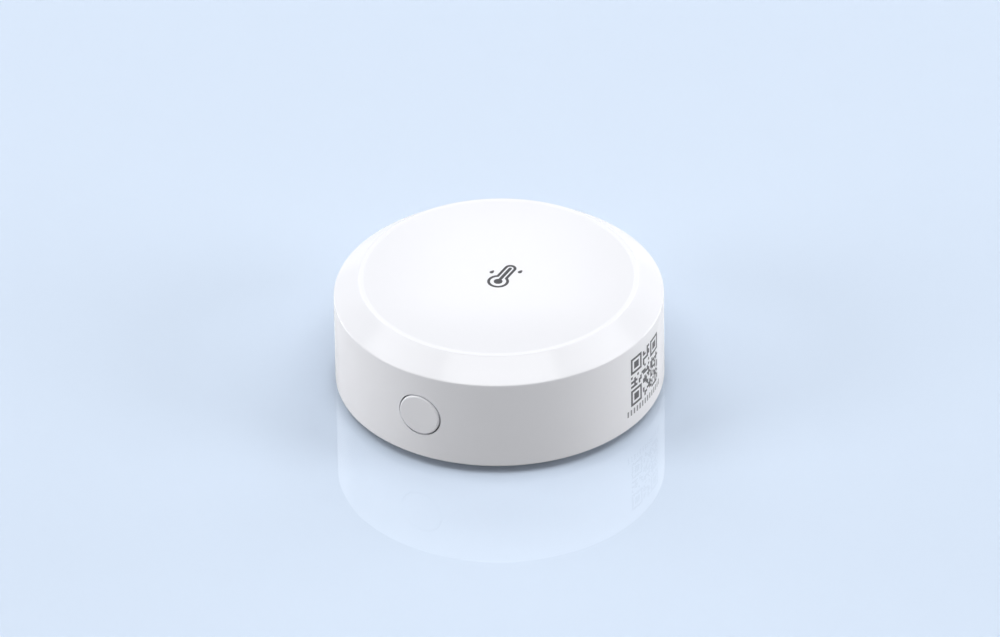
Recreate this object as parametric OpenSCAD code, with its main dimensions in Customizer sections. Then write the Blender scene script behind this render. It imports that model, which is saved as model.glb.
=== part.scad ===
// Round temperature and humidity sensor for a room.
// A white puck with a dished top stands on a soft ring. It has a push button in its wall,
// and a coin cell behind a door underneath that a coin turns.
// Millimetres, +Z up. The origin is on the table under the puck's axis, and the button faces -Y.
// Radii grow outward from the coin cell, and heights grow upward from the table.

/* [Coin cell] */
// Diameter of the coin cell
cell_d = 24.5; // [20:0.5:30]
// Height of the coin cell
cell_h = 5; // [4.2:0.1:8]
// Height of the cell's cap above the can
cell_cap_rise = 0.4; // [0.2:0.1:0.8]
// Width of the can's crimped edge
cell_crimp_w = 0.9; // [0.6:0.1:1.5]
// Width of the seal between can and cap
cell_seal_w = 0.5; // [0.3:0.1:0.8]
// Thickness of the can's floor
cell_floor_t = 0.4; // [0.3:0.1:0.8]
// Rounding of the can's lower edge
cell_round = 0.4; // [0.2:0.1:0.6]

/* [Battery holder] */
// Room between the cell and the holder ring
cell_gap = 0.2; // [0.1:0.05:0.4]
// Wall of the holder ring
holder_t = 1.1; // [1:0.1:2]
// Diameter of the holder's pegs in the board
peg_d = 0.9; // [0.7:0.1:1]
// Height of the room for the spring contact above the cell
contact_h = 1.5; // [1.1:0.1:3]
// Thickness of the contact strips
contact_t = 0.25; // [0.2:0.05:0.4]
// Width of the contact strips
contact_w = 4; // [2.5:0.5:6]
// Room between a contact strip and what it passes
contact_gap = 0.05; // [0.02:0.01:0.1]

/* [Battery door] */
// Height of the door's face above the table
door_lift = 0.5; // [0.2:0.1:0.8]
// Thickness of the door
door_t = 1.4; // [1.2:0.1:1.8]
// Room round the door and its lugs
door_gap = 0.2; // [0.1:0.05:0.35]
// Room between the holder's outside and the door's opening
opening_gap = 0.35; // [0.3:0.05:0.8]
// Wall of the skirt behind the door
skirt_t = 1.1; // [0.8:0.1:1.3]
// Reach of each lug past the door's edge
lug_reach = 1.2; // [0.8:0.1:1.6]
// Thickness of each lug
lug_t = 0.9; // [0.7:0.1:1.4]
// Room between the lugs and the ledge that holds them
lug_play = 0.1; // [0.05:0.05:0.3]
// Angle that each lug covers
lug_span = 28; // [18:1:34]
// Turn of the door from closed to open
door_turn = 40; // [30:1:45]
// Length of the coin slot
slot_l = 12; // [8:0.5:18]
// Width of the coin slot
slot_w = 1.8; // [1.4:0.1:2.5]
// Depth of the coin slot
slot_depth = 0.8; // [0.5:0.1:1]
// Thickness of the foam pad inside the door
door_pad_t = 0.5; // [0.3:0.1:1]
// Diameter of the foam pad inside the door
door_pad_d = 20; // [12:0.5:22]
// Room between the foam pad and the cell
pad_play = 0.1; // [0.05:0.05:0.3]

/* [Base cover and foot] */
// Gap between the table and the body's lower edge
foot_lift = 1.3; // [1.1:0.1:1.8]
// Thickness of the base cover
base_t = 1.6; // [1.4:0.1:2.1]
// Depth of the base cover inside the shell's lower edge
base_recess = 0.1; // [0.05:0.05:0.4]
// Room between the base cover and the shell's wall
base_gap = 0.2; // [0.1:0.05:0.4]
// Thickness of the ledge under the door's lugs
ledge_t = 1.3; // [1:0.1:1.6]
// Wall between the lug channel and the foot pad
channel_wall = 0.3; // [0.3:0.1:1]
// Width of the foot pad
foot_pad_w = 2.8; // [2.7:0.1:5]
// Thickness of the foot pad
foot_pad_t = 0.9; // [0.8:0.1:1.3]
// Depth of the groove that holds the foot pad
foot_groove = 0.3; // [0.2:0.1:0.5]
// Room between the foot pad and the sides of its groove
foot_pad_gap = 0.1; // [0.05:0.05:0.2]
// Width of the lip outside the foot pad
foot_lip = 0.3; // [0.3:0.1:1]
// Distance from the foot to the air vents
vent_offset = 0.4; // [0.3:0.1:1.5]
// Width of the air vents
vent_w = 0.8; // [0.5:0.1:1.5]
// Angle that each air vent covers
vent_span = 30; // [10:1:48]
// Number of air vents
vent_count = 6; // [3:1:7]
// Width of the rim outside the air vents
base_rim_w = 0.8; // [0.6:0.1:2]

/* [Upper shell] */
// Thickness of the shell's wall
wall_t = 1.8; // [1.4:0.1:2.4]
// Thickness of the roof under the middle of the dish
roof_t = 2.15; // [1.5:0.05:3]
// Depth of the dish in the top
dish_sag = 1; // [0.4:0.1:1.6]
// Width of the sloping shoulder, seen from above
shoulder_w = 3.4; // [2.4:0.1:5]
// Rise of the sloping shoulder
shoulder_rise = 2.6; // [1.6:0.1:3.4]
// Width of the flat rim round the dish
rim_w = 0.7; // [0.4:0.1:1.2]
// Rounding between the rim and the shoulder
rim_round = 0.3; // [0.15:0.05:0.5]
// Rounding of the shell's other edges
edge_round = 0.3; // [0.15:0.05:0.5]
// Free height above the board
headroom = 3.8; // [3.2:0.1:6]

/* [Screws] */
// Diameter of the screws' shanks
screw_d = 1.6; // [1.2:0.1:2]
// Diameter of the screws' heads
screw_head_d = 2.5; // [2.2:0.1:2.6]
// Height of the screws' heads
screw_head_h = 0.9; // [0.6:0.1:1]
// Length of the base screws' shanks
base_screw_l = 5; // [3.5:0.5:8]
// Length of the board screws' shanks
board_screw_l = 3.6; // [3:0.2:5]
// Room round a screw's shank in its hole
screw_gap = 0.05; // [0.02:0.01:0.1]
// Room round a screw's head in its recess
head_gap = 0.1; // [0.05:0.05:0.15]
// Wall of the bosses that take the screws
boss_t = 1.05; // [0.8:0.05:1.3]

/* [Side button] */
// Diameter of the button
button_d = 6; // [4.5:0.1:7]
// Room round the button in its hole
button_gap = 0.2; // [0.08:0.01:0.25]
// Height of the button's flat face above the wall
button_proud = 0.1; // [0:0.05:0.5]
// Rounding of the button's edge
button_round = 0.25; // [0.1:0.05:0.4]
// Travel of the button
button_travel = 0.3; // [0.2:0.05:0.45]
// Width of the flange that keeps the button in
flange_w = 0.8; // [0.5:0.1:1.2]
// Thickness of that flange
flange_t = 0.8; // [0.6:0.1:1.2]
// Least thickness of the flat seat inside the wall
seat_t = 0.25; // [0.15:0.05:0.6]
// Room between the button's flange and its seat, and between the button and the switch
press_gap = 0.05; // [0.03:0.01:0.1]
// Diameter of the plunger behind the button
plunger_d = 1.8; // [1.2:0.1:2.4]
// Length of that plunger
plunger_l = 0.5; // [0.3:0.1:1.2]

/* [Push switch] */
// Width of the switch
switch_w = 4.6; // [4:0.1:6]
// Length of the switch from front to back
switch_l = 3.2; // [2.8:0.1:4]
// Height of the switch
switch_h = 1.9; // [1.7:0.1:2.6]
// Wall of the switch's housing
switch_wall = 0.45; // [0.3:0.05:0.5]
// Width of the switch's stem
stem_w = 1.4; // [1:0.1:1.8]
// Height of the switch's stem
stem_h = 0.7; // [0.5:0.1:0.8]
// Reach of the stem in front of the housing
stem_out = 0.55; // [0.5:0.05:1]
// Room round the stem in the housing
stem_gap = 0.05; // [0.03:0.01:0.1]
// Thickness of the shoulder that keeps the stem in
stem_shoulder_t = 0.4; // [0.3:0.05:0.6]
// Width of that shoulder past the stem, on each side
stem_shoulder_w = 0.4; // [0.2:0.05:0.6]
// Rise of the bowed spring leaf behind the stem
leaf_rise = 0.5; // [0.3:0.05:0.7]
// Thickness of the spring leaf
leaf_t = 0.1; // [0.06:0.02:0.16]
// Thickness of the switch's steel cover and terminals
switch_steel_t = 0.15; // [0.1:0.05:0.25]
// Length of each terminal beside the switch
terminal_l = 0.7; // [0.4:0.1:1]
// Width of each terminal
terminal_w = 0.6; // [0.4:0.1:0.8]

/* [Main board] */
// Thickness of the main board
board_t = 1.2; // [0.8:0.1:1.6]
// Room between the board's edge and the shell
board_gap = 0.7; // [0.4:0.1:1.2]
// Room round the bosses that pass through the board
boss_gap = 0.2; // [0.1:0.05:0.4]
// Distance of the board screws from the board's edge
post_inset = 2.8; // [2.4:0.1:3.6]
// Side of the radio board
radio_w = 12; // [10:0.5:14]
// Length of the radio board
radio_l = 16; // [14:0.5:20]
// Thickness of the radio board
radio_t = 0.8; // [0.6:0.1:1.2]
// Side of the radio's shield
shield_w = 9.6; // [8:0.2:10]
// Height of the radio's shield
shield_h = 1.6; // [1.3:0.1:2]
// Thickness of the shield's sheet
shield_t = 0.2; // [0.15:0.05:0.3]
// Side of the radio chip
radio_chip_w = 5; // [4:0.5:7]
// Height of the radio chip
radio_chip_h = 0.85; // [0.6:0.05:1]
// Width of the antenna's copper track
track_w = 0.5; // [0.3:0.1:0.8]
// Height of the antenna's copper track
track_t = 0.1; // [0.05:0.05:0.15]
// Number of the antenna's bends
track_bends = 4; // [2:1:5]
// Side of the temperature and humidity chip
sensor_w = 2.5; // [2:0.1:3]
// Height of the temperature and humidity chip
sensor_h = 0.9; // [0.7:0.1:1.3]
// Diameter of the filter over the sensor's air hole
filter_d = 1.6; // [1:0.1:2]
// Thickness of the filter
filter_t = 0.2; // [0.1:0.05:0.3]
// Width of the slots that keep the board's heat from the sensor
heat_slot_w = 0.8; // [0.5:0.1:1.2]
// Angle between those slots, at the sensor's two sides
heat_slot_span = 18; // [14:1:24]

/* [Hidden] */
$fn = 96;
// Overlap that carries a cut through a face, or welds the parts of one moulding
over = 0.4;
// Steps in a small rounding, and in the dish
round_steps = 6;
dish_steps = 24;

// Radii, from the coin cell outward
cell_r = cell_d / 2;
holder_in_r = cell_r + cell_gap;
holder_out_r = holder_in_r + holder_t;
opening_r = holder_out_r + opening_gap;
door_r = opening_r - door_gap;
lug_r = door_r + lug_reach;
channel_r = lug_r + door_gap;
groove_in_r = channel_r + channel_wall;
groove_out_r = groove_in_r + foot_pad_w;
foot_out_r = groove_out_r + foot_lip;
vent_in_r = foot_out_r + vent_offset;
vent_out_r = vent_in_r + vent_w;
base_r = vent_out_r + base_rim_w;
shell_in_r = base_r + base_gap;
body_r = shell_in_r + wall_t;
rim_r = body_r - shoulder_w;
dish_out_r = rim_r - rim_w;
board_r = shell_in_r - board_gap;

// Heights, from the table upward
door_top_z = door_lift + door_t;
cell_z = door_top_z + door_pad_t + pad_play;
cell_top_z = cell_z + cell_h;
board_z = cell_top_z + contact_h;
board_top_z = board_z + board_t;
ceiling_z = board_top_z + headroom;
dish_z = ceiling_z + roof_t;
rim_z = dish_z + dish_sag;
shoulder_z = rim_z - shoulder_rise;
foot_z = foot_pad_t - foot_groove;
ledge_z = foot_z + ledge_t;
lug_z = ledge_z + lug_play;
lug_top_z = lug_z + lug_t;
base_z = foot_lift + base_recess;
base_top_z = base_z + base_t;
holder_lift = 0.3;
holder_z = lug_top_z + holder_lift;

// The door's three lugs, their channels and the screws between them
lug_count = 3;
lug_pitch = 360 / lug_count;
stop_gap = 2;
channel_span = lug_span + door_turn + 2 * stop_gap;
notch_span = lug_span + 2 * stop_gap;
screw_angles = [for (i = [0:lug_count - 1]) 90 + i * lug_pitch];
channel_angles = [for (a = screw_angles) a + lug_pitch / 2];

// Screws: the base screws under the foot pad, the board screws under the board
screw_r = screw_d / 2;
screw_hole_r = screw_r + screw_gap;
screw_head_r = screw_head_d / 2;
head_hole_r = screw_head_r + head_gap;
boss_r = screw_hole_r + boss_t;
tip_room = 0.3;
screw_ring_r = (groove_in_r + groove_out_r) / 2;
screw_seat_z = foot_pad_t + head_gap + screw_head_h;
post_ring_r = board_r - post_inset;
post_angles = [30, 150];
cross_l = 1.2;
cross_w = 0.32;

// Distances of the button and the switch in front of the puck's axis
button_r = button_d / 2;
button_hole_r = button_r + button_gap;
flange_r = button_r + flange_w;
seat_margin = 0.3;
seat_f = sqrt(shell_in_r * shell_in_r - flange_r * flange_r) - seat_t;
face_f = body_r + button_proud;
flange_f = seat_f - press_gap;
flange_back_f = flange_f - flange_t;
plunger_f = flange_back_f - plunger_l;
stem_f = plunger_f - press_gap;
switch_f = stem_f - stem_out;
switch_back_f = switch_f - switch_l;
cavity_f = switch_f - switch_wall;
shoulder_f = cavity_f - stem_gap;
shoulder_back_f = shoulder_f - stem_shoulder_t;
leaf_f = shoulder_back_f - button_travel - press_gap;
cavity_back_f = leaf_f - leaf_rise;

// Heights and widths of the switch, which hangs under the board's front edge
switch_z = board_z - switch_h;
button_z = board_z - switch_h / 2;
cavity_h = switch_h - 2 * switch_wall;
shoulder_full_w = stem_w + 2 * stem_shoulder_w;
cavity_w = shoulder_full_w + 2 * stem_gap;
leaf_w = cavity_w - 2 * (stem_gap + leaf_t);
leaf_in_r = (pow(leaf_w / 2, 2) + pow(leaf_rise - leaf_t, 2)) / (2 * (leaf_rise - leaf_t));
leaf_angle = asin(leaf_w / 2 / leaf_in_r);
cover_l = switch_l / 2;
ear_h = switch_h / 2;

// Contacts of the coin cell
positive_angle = 180;
positive_lift = 0.3;
positive_z = holder_z + positive_lift;
positive_tab_l = 2;
negative_base_x = [4, 8];
negative_tip_x = [-3, -1];
negative_curl_x = -4;
negative_curl_h = contact_h / 3;
peg_gap = 0.05;
peg_ring_r = (holder_in_r + holder_out_r) / 2;
peg_angles = [45, 225];

// Places on the board
radio_y = 3;
radio_edge = 0.8;
shield_y = radio_y - radio_l / 2 + shield_w / 2 + radio_edge;
track_start_y = shield_y + shield_w / 2 + radio_edge;
sensor_angle = 60;
sensor_inset = 2.7;
sensor_clear = 0.4;
sensor_ring_r = board_r - sensor_inset;
heat_slot_out_r = sensor_ring_r + sensor_w / 2;
heat_slot_in_r = sensor_ring_r - sensor_w / 2 - sensor_clear - heat_slot_w;
capacitor_size = [1.6, 0.8, 0.8];
capacitor_places = [
  [-9, 6, 90], [-9, 3, 90], [9, 5, 90], [8.5, -2, 0], [-8.5, -1, 0], [3, -8, 0], [-3, -8, 0]
];
resistor_size = [1.6, 0.8, 0.45];
resistor_places = [[9, 2, 90], [6.5, -8, 0], [-6.5, -8, 0], [-9.5, -4, 0], [9.5, -5, 0], [4.5, -11, 90]];
crystal_size = [3.2, 1.5, 0.7];
crystal_place = [0, -11.5, 0];
led_size = [1.6, 0.8, 0.6];
led_inset = 2.1;
led_place = [4.5, led_inset - switch_f, 0];

// Outline of the shell: slope of the shoulder, sphere of the dish, circles of the roundings
slope = atan2(shoulder_rise, shoulder_w);
dish_r = (dish_out_r * dish_out_r + dish_sag * dish_sag) / (2 * dish_sag);
dish_centre = [0, dish_z + dish_r];
foot_edge_centre = [body_r - edge_round, foot_lift + edge_round];
shoulder_centre = [body_r - edge_round, shoulder_z - edge_round * (1 - sin(slope)) / cos(slope)];
rim_centre = [rim_r - rim_round * tan(slope / 2), rim_z - rim_round];
dish_start = atan2(rim_z - dish_centre.y, dish_out_r);

// Points along an arc, from one angle to another
function arc(centre, radius, from, to, steps) =
  [for (i = [0:steps]) let (a = from + (to - from) * i / steps) centre + radius * [cos(a), sin(a)]];

// Puts a shape at an angle and a distance from the puck's axis, facing outward
module polar(angle, radius) {
  rotate([0, 0, angle]) translate([radius, 0, 0]) children();
}

// Ring about the puck's axis between two radii and two heights
module ring(r_in, r_out, z, z_top) {
  rotate_extrude() translate([r_in, z]) square([r_out - r_in, z_top - z]);
}

// Part of such a ring, centred on one angle
module ring_part(r_in, r_out, z, z_top, angle, span) {
  rotate([0, 0, angle - span / 2])
    rotate_extrude(angle = span) translate([r_in, z]) square([r_out - r_in, z_top - z]);
}

// Box that runs from one distance to a nearer one in front of the axis, centred on the button's plane
module front_box(w, f, f_back, z, h) {
  translate([-w / 2, -f, z]) cube([w, f - f_back, h]);
}

// Block of a given size, standing on the middle of its lower face
module block(size) {
  translate([-size.x / 2, -size.y / 2, 0]) cube(size);
}

// Like blocks on the board's upper face, each place being x, y and a turn
module board_blocks(places, size) {
  for (p = places) translate([p.x, p.y, board_top_z]) rotate([0, 0, p.z]) block(size);
}

// Screw with a cross in its head, head down, its shank starting at the origin
module screw(length) {
  cylinder(r = screw_r, h = length);
  difference() {
    translate([0, 0, -screw_head_h]) cylinder(r = screw_head_r, h = screw_head_h);
    for (turn = [0, 90]) rotate([0, 0, turn])
      translate([0, 0, -screw_head_h - over]) block([cross_l, cross_w, over + screw_head_h / 2]);
  }
}

// Soft ring that the puck stands on, glued into the foot's groove over the screws
module foot_pad() {
  color("dimgray") ring(groove_in_r + foot_pad_gap, groove_out_r - foot_pad_gap, 0, foot_pad_t);
}

// Cover that closes the puck from below, with the foot, the vents and the door's channels
module base_cover() {
  color("white") difference() {
    rotate_extrude() polygon([
      [opening_r, foot_z], [groove_in_r, foot_z], [groove_in_r, foot_pad_t], [groove_out_r, foot_pad_t],
      [groove_out_r, foot_z], [foot_out_r, foot_z], [foot_out_r, base_z], [base_r, base_z],
      [base_r, base_top_z], [opening_r, base_top_z]
    ]);
    for (a = channel_angles) {
      ring_part(opening_r - over, channel_r, ledge_z, base_top_z + over, a, channel_span);
      ring_part(opening_r - over, channel_r, foot_z - over, ledge_z + over, a - door_turn / 2, notch_span);
    }
    for (i = [0:vent_count - 1])
      ring_part(vent_in_r, vent_out_r, base_z - over, base_top_z + over, i * 360 / vent_count, vent_span);
    for (a = screw_angles) polar(a, screw_ring_r) {
      cylinder(r = screw_hole_r, h = base_top_z + over);
      cylinder(r = head_hole_r, h = screw_seat_z);
    }
  }
}

// Screws that hold the base cover to the shell's bosses
module base_screws() {
  color("silver") for (a = screw_angles) polar(a, screw_ring_r)
    translate([0, 0, screw_seat_z]) screw(base_screw_l);
}

// Door under the cell, turned by a coin until its lugs meet the notches
module battery_door() {
  color("white") difference() {
    union() {
      translate([0, 0, door_lift]) cylinder(r = door_r, h = door_t);
      ring(door_r - skirt_t, door_r, door_top_z - over, lug_top_z);
      for (a = channel_angles)
        ring_part(door_r - over, lug_r, lug_z, lug_top_z, a + door_turn / 2, lug_span);
    }
    translate([0, 0, door_lift - over]) linear_extrude(over + slot_depth) {
      square([slot_l - slot_w, slot_w], center = true);
      for (side = [-1, 1]) translate([side * (slot_l - slot_w) / 2, 0]) circle(d = slot_w);
    }
  }
}

// Foam disc that keeps the cell against its contacts
module door_pad() {
  color("gray") translate([0, 0, door_top_z]) cylinder(d = door_pad_d, h = door_pad_t);
}

// Steel can of the coin cell, its positive side, facing the door
module coin_cell_can() {
  cap_hole_r = cell_r - cell_crimp_w;
  can_top = cell_h - cell_cap_rise;
  color("lightgray") translate([0, 0, cell_z]) rotate_extrude() polygon(concat(
    [[0, cell_floor_t], [0, 0]],
    arc([cell_r - cell_round, cell_round], cell_round, -90, 0, round_steps),
    [[cell_r, can_top], [cap_hole_r, can_top], [cap_hole_r, cell_floor_t]]
  ));
}

// Ring that seals the cell and keeps its two sides apart
module coin_cell_seal() {
  seal_out_r = cell_r - cell_crimp_w;
  color("ivory")
    ring(seal_out_r - cell_seal_w, seal_out_r, cell_z + cell_floor_t, cell_top_z - cell_cap_rise);
}

// Cap of the coin cell, its negative side, with the filling under it
module coin_cell_cap() {
  color("gainsboro") translate([0, 0, cell_z + cell_floor_t])
    cylinder(r = cell_r - cell_crimp_w - cell_seal_w, h = cell_h - cell_floor_t);
}

// Ring on the board's lower face that keeps the cell in the middle
module battery_holder() {
  color("dimgray") difference() {
    union() {
      ring(holder_in_r, holder_out_r, holder_z, board_z);
      for (a = peg_angles) polar(a, peg_ring_r)
        translate([0, 0, board_z - over]) cylinder(d = peg_d, h = over + board_t);
    }
    polar(positive_angle, peg_ring_r) translate([0, 0, holder_z - over])
      block([holder_t + 2 * over, contact_w + 2 * contact_gap, board_z - holder_z + 2 * over]);
  }
}

// Strip against the side of the can, bent outward under the board
module positive_contact() {
  strip_r = cell_r + contact_gap;
  color("lightgray") rotate([0, 0, positive_angle]) rotate([90, 0, 0])
    linear_extrude(contact_w, center = true) polygon([
      [strip_r, positive_z], [strip_r + contact_t, positive_z],
      [strip_r + contact_t, board_z - contact_t],
      [holder_out_r + positive_tab_l, board_z - contact_t],
      [holder_out_r + positive_tab_l, board_z], [strip_r, board_z]
    ]);
}

// Leaf under the board that springs down onto the cap
module negative_contact() {
  base = negative_base_x;
  tip = negative_tip_x;
  color("lightgray") rotate([90, 0, 0]) linear_extrude(contact_w, center = true) polygon([
    [base[1], board_z], [base[0], board_z],
    [tip[1], cell_top_z + contact_t], [tip[0], cell_top_z + contact_t],
    [negative_curl_x, cell_top_z + contact_t + negative_curl_h],
    [negative_curl_x, cell_top_z + negative_curl_h],
    [tip[0], cell_top_z], [tip[1], cell_top_z],
    [base[0], board_z - contact_t], [base[1], board_z - contact_t]
  ]);
}

// Round circuit board, cut straight behind the button and slotted round the sensor
module main_board() {
  slot_l = heat_slot_out_r - heat_slot_in_r;
  color("darkgreen") difference() {
    translate([0, 0, board_z]) cylinder(r = board_r, h = board_t);
    front_box(2 * board_r, board_r + over, switch_f, board_z - over, board_t + 2 * over);
    for (a = screw_angles) polar(a, screw_ring_r)
      cylinder(r = boss_r + boss_gap, h = board_top_z + over);
    for (a = post_angles) polar(a, post_ring_r)
      cylinder(r = screw_hole_r, h = board_top_z + over);
    for (a = peg_angles) polar(a, peg_ring_r)
      cylinder(r = peg_d / 2 + peg_gap, h = board_top_z + over);
    ring_part(heat_slot_in_r, heat_slot_in_r + heat_slot_w, board_z - over, board_top_z + over,
      sensor_angle, heat_slot_span);
    for (side = [-1, 1]) polar(sensor_angle + side * heat_slot_span / 2, heat_slot_in_r + slot_l / 2)
      translate([0, 0, board_z - over]) block([slot_l, heat_slot_w, board_t + 2 * over]);
  }
}

// Screws that hold the board to the shell's posts
module board_screws() {
  color("silver") for (a = post_angles) polar(a, post_ring_r)
    translate([0, 0, board_z]) screw(board_screw_l);
}

// Chip that measures the air, under the board near the vents
module sensor_chip() {
  color("dimgray") polar(sensor_angle, sensor_ring_r)
    translate([0, 0, board_z - sensor_h]) block([sensor_w, sensor_w, sensor_h]);
}

// Membrane over the chip's air hole
module sensor_filter() {
  color("white") polar(sensor_angle, sensor_ring_r)
    translate([0, 0, board_z - sensor_h - filter_t]) cylinder(d = filter_d, h = filter_t);
}

// Small board of the radio, soldered flat on the main board
module radio_board() {
  color("seagreen") translate([0, radio_y, board_top_z]) block([radio_w, radio_l, radio_t]);
}

// Radio chip under the shield
module radio_chip() {
  color("black") translate([0, shield_y, board_top_z + radio_t])
    block([radio_chip_w, radio_chip_w, radio_chip_h]);
}

// Sheet steel box over the radio chip, open below
module radio_shield() {
  inside = shield_w - 2 * shield_t;
  color("silver") translate([0, shield_y, board_top_z + radio_t]) difference() {
    block([shield_w, shield_w, shield_h]);
    translate([0, 0, -over]) block([inside, inside, shield_h - shield_t + over]);
  }
}

// Folded copper track at the end of the radio board
module antenna_track() {
  reach = radio_y + radio_l / 2 - track_start_y - radio_edge;
  pitch = (radio_w - 2 * track_w) / (2 * track_bends);
  start_x = -track_bends * pitch;
  color("orange") translate([start_x, track_start_y, board_top_z + radio_t]) linear_extrude(track_t)
    for (i = [0:2 * track_bends]) {
      turn_y = i % 2 == 0 ? reach - track_w : 0;
      translate([i * pitch - track_w / 2, 0]) square([track_w, reach]);
      if (i < 2 * track_bends)
        translate([i * pitch - track_w / 2, turn_y]) square([pitch + track_w, track_w]);
    }
}

// Clock crystal in its metal can
module crystal() {
  color("silver") board_blocks([crystal_place], crystal_size);
}

// Chip capacitors
module capacitors() {
  color("tan") board_blocks(capacitor_places, capacitor_size);
}

// Chip resistors
module resistors() {
  color("black") board_blocks(resistor_places, resistor_size);
}

// Light that shows through the gap round the button
module status_led() {
  color("lightyellow") board_blocks([led_place], led_size);
}

// Plastic body of the push switch, hollow for its stem and spring leaf
module switch_housing() {
  hole_w = stem_w + 2 * stem_gap;
  hole_h = stem_h + 2 * stem_gap;
  color("black") difference() {
    front_box(switch_w, switch_f, switch_back_f, switch_z, switch_h);
    front_box(cavity_w, cavity_f, cavity_back_f, switch_z + switch_wall, cavity_h);
    front_box(hole_w, switch_f + over, cavity_f - over, button_z - hole_h / 2, hole_h);
  }
}

// Bowed spring leaf that snaps when the stem is pressed
module switch_leaf() {
  leaf_centre = [0, leaf_in_r - (leaf_rise - leaf_t) - cavity_back_f];
  leaf_h = cavity_h - 2 * stem_gap;
  color("silver") translate([0, 0, button_z - leaf_h / 2]) linear_extrude(leaf_h) polygon(concat(
    arc(leaf_centre, leaf_in_r, -90 - leaf_angle, -90 + leaf_angle, 2 * round_steps),
    arc(leaf_centre, leaf_in_r + leaf_t, -90 + leaf_angle, -90 - leaf_angle, 2 * round_steps)
  ));
}

// Steel plate under the switch, with an ear up each side
module switch_cover() {
  cover_f = (switch_f + switch_back_f + cover_l) / 2;
  cover_z = switch_z - switch_steel_t;
  color("silver") {
    front_box(switch_w, switch_f, switch_back_f, cover_z, switch_steel_t);
    for (side = [-1, 1]) translate([side * (switch_w + switch_steel_t) / 2, 0, 0])
      front_box(switch_steel_t, cover_f, cover_f - cover_l, switch_z, ear_h);
    front_box(switch_w + 2 * switch_steel_t, cover_f, cover_f - cover_l, cover_z, switch_steel_t);
  }
}

// Four tinned feet of the switch, soldered to the board's lower face
module switch_terminals() {
  color("lightgray") for (side = [-1, 1], f = [switch_f, switch_back_f + terminal_w])
    translate([side * (switch_w + terminal_l) / 2, 0, 0])
      front_box(terminal_l, f, f - terminal_w, board_z - switch_steel_t, switch_steel_t);
}

// Stem that the button's plunger pushes into the switch
module switch_stem() {
  shoulder_h = cavity_h - 2 * stem_gap;
  color("ivory") {
    front_box(stem_w, stem_f, shoulder_back_f, button_z - stem_h / 2, stem_h);
    front_box(shoulder_full_w, shoulder_f, shoulder_back_f, button_z - shoulder_h / 2, shoulder_h);
  }
}

// Round button in the wall, kept in by its flange
module side_button() {
  color("white") translate([0, 0, button_z]) rotate([90, 0, 0]) rotate_extrude() polygon(concat(
    [
      [0, plunger_f], [plunger_d / 2, plunger_f], [plunger_d / 2, flange_back_f],
      [flange_r, flange_back_f], [flange_r, flange_f], [button_r, flange_f]
    ],
    arc([button_r - button_round, face_f - button_round], button_round, 0, 90, round_steps),
    [[0, face_f]]
  ));
}

// White moulding with the wall, the shoulder, the dish and the bosses inside
module upper_shell() {
  seat_half = flange_r + seat_margin;
  color("white") difference() {
    union() {
      rotate_extrude() polygon(concat(
        [[0, ceiling_z], [shell_in_r, ceiling_z], [shell_in_r, foot_lift]],
        arc(foot_edge_centre, edge_round, -90, 0, round_steps),
        arc(shoulder_centre, edge_round, 0, 90 - slope, round_steps),
        arc(rim_centre, rim_round, 90 - slope, 90, round_steps),
        arc(dish_centre, dish_r, dish_start, -90, dish_steps)
      ));
      for (a = screw_angles) polar(a, screw_ring_r)
        translate([0, 0, base_top_z]) cylinder(r = boss_r, h = ceiling_z + over - base_top_z);
      for (a = post_angles) polar(a, post_ring_r)
        translate([0, 0, board_top_z]) cylinder(r = boss_r, h = headroom + over);
      intersection() {
        front_box(2 * seat_half, shell_in_r + over, seat_f, button_z - seat_half, 2 * seat_half);
        cylinder(r = shell_in_r + over, h = rim_z);
      }
    }
    translate([0, -seat_f + over, button_z]) rotate([90, 0, 0])
      cylinder(r = button_hole_r, h = body_r - seat_f + 2 * over);
    for (a = screw_angles) polar(a, screw_ring_r)
      cylinder(r = screw_hole_r, h = screw_seat_z + base_screw_l + tip_room);
    for (a = post_angles) polar(a, post_ring_r)
      cylinder(r = screw_hole_r, h = board_z + board_screw_l + tip_room);
  }
}

foot_pad();
base_cover();
base_screws();
battery_door();
door_pad();
coin_cell_can();
coin_cell_seal();
coin_cell_cap();
battery_holder();
positive_contact();
negative_contact();
main_board();
board_screws();
sensor_chip();
sensor_filter();
radio_board();
radio_chip();
radio_shield();
antenna_track();
crystal();
capacitors();
resistors();
status_led();
switch_housing();
switch_leaf();
switch_cover();
switch_terminals();
switch_stem();
side_button();
upper_shell();
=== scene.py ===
"""Looks of a round temperature and humidity sensor, built on its packed construction model.

The sections follow the sensor as it is put together: the shell, which lies on its top while it is
filled, the button, the circuit board and its parts, the base, the cell and its door, and the prints.
The stage and the camera close the file. All lengths are in metres.
"""
import math
import random

import bmesh
import bpy
from mathutils import Matrix, Vector
from mathutils.bvhtree import BVHTree


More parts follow.
